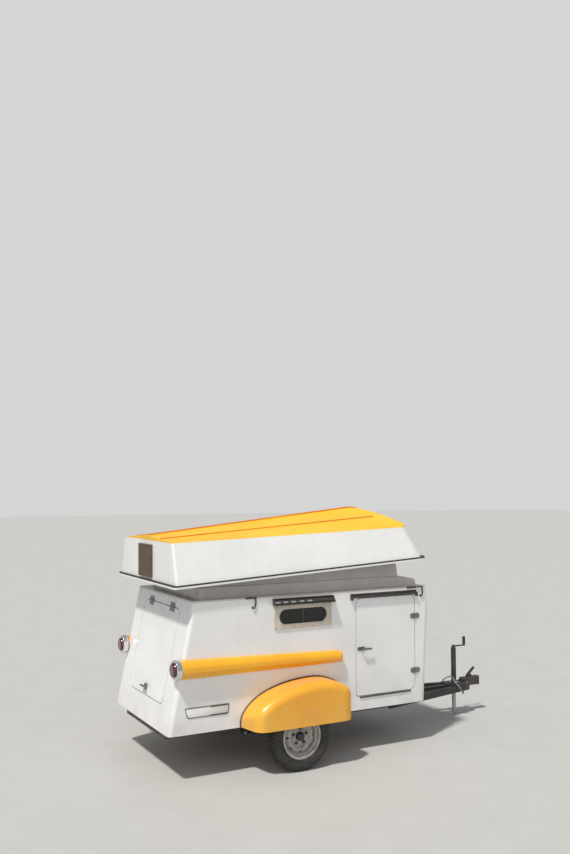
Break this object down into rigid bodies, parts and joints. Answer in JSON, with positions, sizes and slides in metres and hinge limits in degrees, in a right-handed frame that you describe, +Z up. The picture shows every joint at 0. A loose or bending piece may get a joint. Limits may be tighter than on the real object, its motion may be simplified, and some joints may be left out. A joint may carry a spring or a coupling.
{
  "type": "teardrop camping trailer with a dinghy roof",
  "caption": "Small glass-fibre camping trailer: hollow cabin, side doors, rear hatch, jack, and a lift-off roof that is an upturned dinghy.",
  "frame": {"origin": "on the ground, under the middle of the whole trailer", "axes": "+X forward to the hitch, +Y to the trailer's left, +Z up"},
  "size_m": [3.456, 1.696, 1.9868],
  "materials": {
    "white_gelcoat": "gloss",
    "white_gelcoat_roof": "gloss",
    "hull_gelcoat": "gloss",
    "yellow_gelcoat": "gloss",
    "chrome": "polished",
    "dark_trim": "satin",
    "window_plastic": "satin",
    "tinted_glass": "gloss",
    "red_lens": "gloss",
    "black_steel": "satin",
    "zinc_steel": "satin",
    "wheel_paint": "gloss",
    "tyre_rubber": "matte",
    "rubber": "matte",
    "plywood": "satin",
    "bare_wood": "matte",
    "pad_fabric": "woven"
  },
  "bodies": {
    "trailer": {"right_side_wall": "white_gelcoat", "left_side_wall": "white_gelcoat", "front_wall": "white_gelcoat", "rear_wall": "white_gelcoat", "roof": "white_gelcoat_roof", "cabin_floor": "plywood", "bulkhead": "plywood", "galley_counter": "plywood", "mattress": "pad_fabric", "window_frames": "window_plastic", "window_glass": "tinted_glass", "window_hoods": "dark_trim", "drip_rails": "dark_trim", "boat_latches": "chrome", "tail_spears": "yellow_gelcoat", "lamp_rings": "chrome", "tail_lamps": "red_lens", "fenders": "yellow_gelcoat", "fender_welts": "rubber", "door_hinge_plates": "chrome", "hatch_hinge_plates": "chrome", "frame_rails": "black_steel", "cross_members": "black_steel", "tongue_arms": "black_steel", "tongue_spine": "black_steel", "coupler": "black_steel", "coupler_lever": "zinc_steel", "jack_deck": "black_steel", "jack_tube": "black_steel", "jack_crank": "black_steel", "axle": "black_steel", "leaf_springs": "black_steel", "roof_bearers": "rubber"},
    "rear_hatch_body": {"rear_hatch": "white_gelcoat", "hatch_hinge_leaves": "chrome", "hatch_handle": "chrome"},
    "jack_foot": {"jack_leg": "zinc_steel"},
    "dinghy": {"boat_hull": "hull_gelcoat", "boat_gunwale": "hull_gelcoat", "boat_rub_rail": "rubber", "boat_thwarts": "bare_wood", "transom_pads": "bare_wood", "keel_strip": "yellow_gelcoat", "bottom_strakes": "yellow_gelcoat"},
    "right_side_door": {"right_door": "white_gelcoat", "right_door_handle": "chrome", "right_door_hinge_leaves": "chrome"},
    "right_road_wheel": {"right_tyre": "tyre_rubber", "right_wheel": "wheel_paint", "right_hub": "black_steel"},
    "left_side_door": {"left_door": "white_gelcoat", "left_door_handle": "chrome", "left_door_hinge_leaves": "chrome"},
    "left_road_wheel": {"left_tyre": "tyre_rubber", "left_wheel": "wheel_paint", "left_hub": "black_steel"}
  },
  "joints": [
    {"name": "right_door_hinge", "type": "hinge", "parent": "trailer", "child": "right_side_door", "pos_m": [0.503, -0.6165, 0.838], "axis": [0, 0, 1], "range_deg": [0, 110]},
    {"name": "right_wheel_spin", "type": "hinge", "parent": "trailer", "child": "right_road_wheel", "pos_m": [-0.711, -0.742, 0.255], "axis": [0, 1, 0], "continuous": true},
    {"name": "left_door_hinge", "type": "hinge", "parent": "trailer", "child": "left_side_door", "pos_m": [0.503, 0.6165, 0.838], "axis": [0, 0, -1], "range_deg": [0, 110]},
    {"name": "left_wheel_spin", "type": "hinge", "parent": "trailer", "child": "left_road_wheel", "pos_m": [-0.711, 0.742, 0.255], "axis": [0, 1, 0], "continuous": true},
    {"name": "rear_hatch_hinge", "type": "hinge", "parent": "trailer", "child": "rear_hatch_body", "pos_m": [-1.5596, 0, 1.22918], "axis": [0, 1, 0], "range_deg": [0, 80]},
    {"name": "jack_slide", "type": "slide", "parent": "trailer", "child": "jack_foot", "axis": [0, 0, 1], "range_m": [-0.15, 0.17]},
    {"name": "dinghy_lift", "type": "slide", "parent": "trailer", "child": "dinghy", "axis": [0, 0, 1], "range_m": [0, 0.5]}
  ]
}
